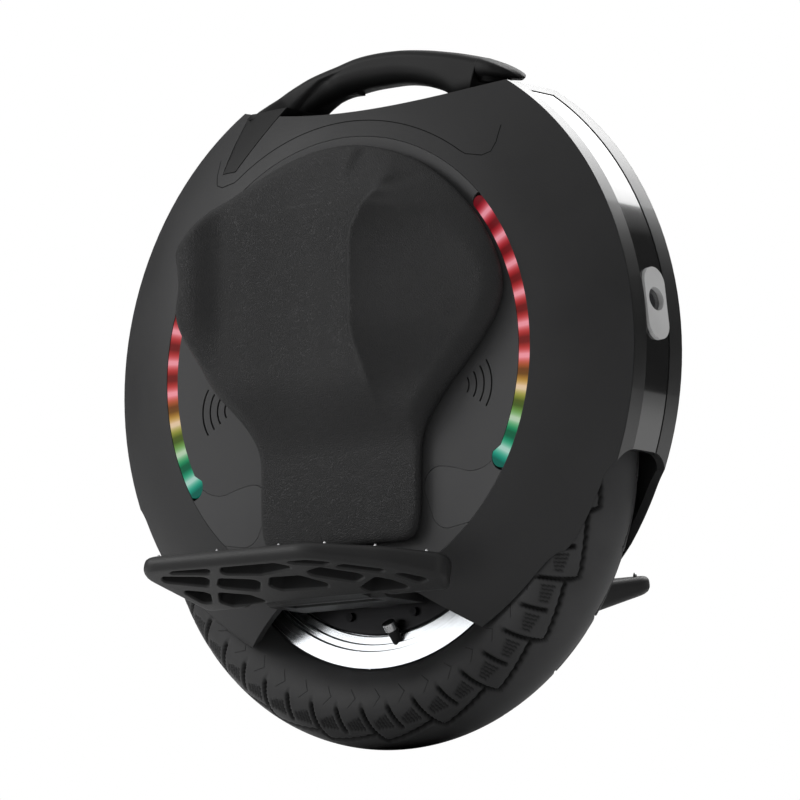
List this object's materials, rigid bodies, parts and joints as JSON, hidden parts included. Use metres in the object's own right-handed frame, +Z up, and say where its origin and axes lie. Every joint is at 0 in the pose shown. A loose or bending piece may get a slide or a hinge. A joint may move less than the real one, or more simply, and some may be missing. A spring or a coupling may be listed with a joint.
{
  "type": "electric unicycle",
  "caption": "Self-balancing electric unicycle: hub-motor wheel in a lens-shaped body with leg pads, light strips, fold-up pedals and a pull-out trolley handle.",
  "frame": {"origin": "point where the tyre meets the ground, below the middle of the wheel", "axes": "+X forwards, the way the headlight points; +Y to the rider's left, along the axle; +Z up"},
  "size_m": [0.4718, 0.3272, 0.5113],
  "materials": {
    "tyre_rubber": "matt ribbed rubber",
    "black_rubber": "smooth rubber",
    "rim_metal": "satin machined",
    "steel": "bright steel",
    "copper": "enamelled winding wire",
    "plain_metal": "drawn section",
    "black_metal": "satin black coat",
    "pedal_metal": "satin black coat",
    "shell_plastic": "fine matt grain",
    "panel_plastic": "matt",
    "cap_plastic": "matt",
    "band_plastic": "gloss black",
    "silver_plastic": "satin silver",
    "clear_lens": "clear",
    "red_lens": "tinted lens",
    "led_plastic": "smoked diffuser",
    "board": "laminate",
    "speaker_black": "moulded frame",
    "battery_wrap": "shrink-wrapped cell pack",
    "pad_leather": "fine grain"
  },
  "bodies": {
    "chassis": {"axle": "steel", "axle_nuts": "steel", "stator_hub": "plain_metal", "stator_core": "steel", "stator_windings": "copper", "left_pedal_hanger": "black_metal", "right_pedal_hanger": "black_metal", "wheel_arch": "shell_plastic", "left_side_shell": "shell_plastic", "right_side_shell": "shell_plastic", "front_band": "band_plastic", "rear_band": "band_plastic", "front_strip": "band_plastic", "rear_strip": "band_plastic", "headlight_bezel": "silver_plastic", "headlight_lens": "clear_lens", "headlight_board": "board", "tail_light": "red_lens", "left_side_panel": "panel_plastic", "right_side_panel": "panel_plastic", "left_lobe_caps": "cap_plastic", "right_lobe_caps": "cap_plastic", "left_led_diffusers": "led_plastic", "right_led_diffusers": "led_plastic", "led_boards": "board", "left_pad": "pad_leather", "right_pad": "pad_leather", "speakers": "speaker_black", "left_battery": "battery_wrap", "right_battery": "battery_wrap", "controller_board": "board", "controller_heatsink": "plain_metal", "top_deck": "shell_plastic", "charge_socket": "shell_plastic", "latch_post": "steel", "trolley_guides": "plain_metal"},
    "wheel": {"tyre": "tyre_rubber", "inner_tube": "black_rubber", "rim": "rim_metal", "rotor_ring": "steel", "rotor_magnets": "steel", "left_motor_cover": "rim_metal", "right_motor_cover": "rim_metal", "motor_cover_screws": "steel", "wheel_bearings": "steel", "valve_stem": "black_rubber", "valve_cap": "shell_plastic"},
    "handle": {"handle_arch": "shell_plastic", "trolley_rods": "steel"},
    "trolley_mid": {"trolley_mid_tubes": "plain_metal"},
    "lift_switch": {"lift_switch": "shell_plastic"},
    "handle_latch": {"handle_latch": "shell_plastic"},
    "power_button": {"power_button": "shell_plastic"},
    "charge_cap": {"charge_cap": "black_rubber"},
    "left_pedal": {"left_pedal": "pedal_metal", "left_pedal_pin": "steel", "left_pedal_studs": "steel"},
    "right_pedal": {"right_pedal": "pedal_metal", "right_pedal_pin": "steel", "right_pedal_studs": "steel"}
  },
  "joints": [
    {"name": "wheel_spin", "type": "hinge", "parent": "chassis", "child": "wheel", "pos_m": [0, 0, 0.205], "axis": [0, 1, 0], "continuous": true},
    {"name": "left_pedal_fold", "type": "hinge", "parent": "chassis", "child": "left_pedal", "pos_m": [0, 0.08, 0.108], "axis": [1, 0, 0], "range_deg": [0, 68]},
    {"name": "right_pedal_fold", "type": "hinge", "parent": "chassis", "child": "right_pedal", "pos_m": [0, -0.08, 0.108], "axis": [-1, 0, 0], "range_deg": [0, 68]},
    {"name": "handle_slide", "type": "slide", "parent": "chassis", "child": "handle", "axis": [0.2419, 0, 0.9703], "range_m": [0, 0.26]},
    {"name": "trolley_mid_slide", "type": "slide", "parent": "chassis", "child": "trolley_mid", "axis": [0.2419, 0, 0.9703], "range_m": [0, 0.13]},
    {"name": "lift_switch_press", "type": "slide", "parent": "handle", "child": "lift_switch", "axis": [0, 0, 1], "range_m": [0, 0.0025], "stiffness_N_per_m": 400},
    {"name": "handle_latch_slide", "type": "slide", "parent": "handle", "child": "handle_latch", "axis": [0.979, 0, 0.2039], "range_m": [0, 0.005], "stiffness_N_per_m": 400},
    {"name": "power_button_press", "type": "slide", "parent": "chassis", "child": "power_button", "axis": [0, 0, -1], "range_m": [0, 0.0015], "stiffness_N_per_m": 600},
    {"name": "charge_cap_swing", "type": "hinge", "parent": "chassis", "child": "charge_cap", "pos_m": [-0.2343, 0, 0.275], "axis": [0, 1, 0], "range_deg": [0, 110]}
  ],
  "couplings": [
    {"joint": "trolley_mid_slide", "follows": "handle_slide", "ratio": 0.5}
  ]
}
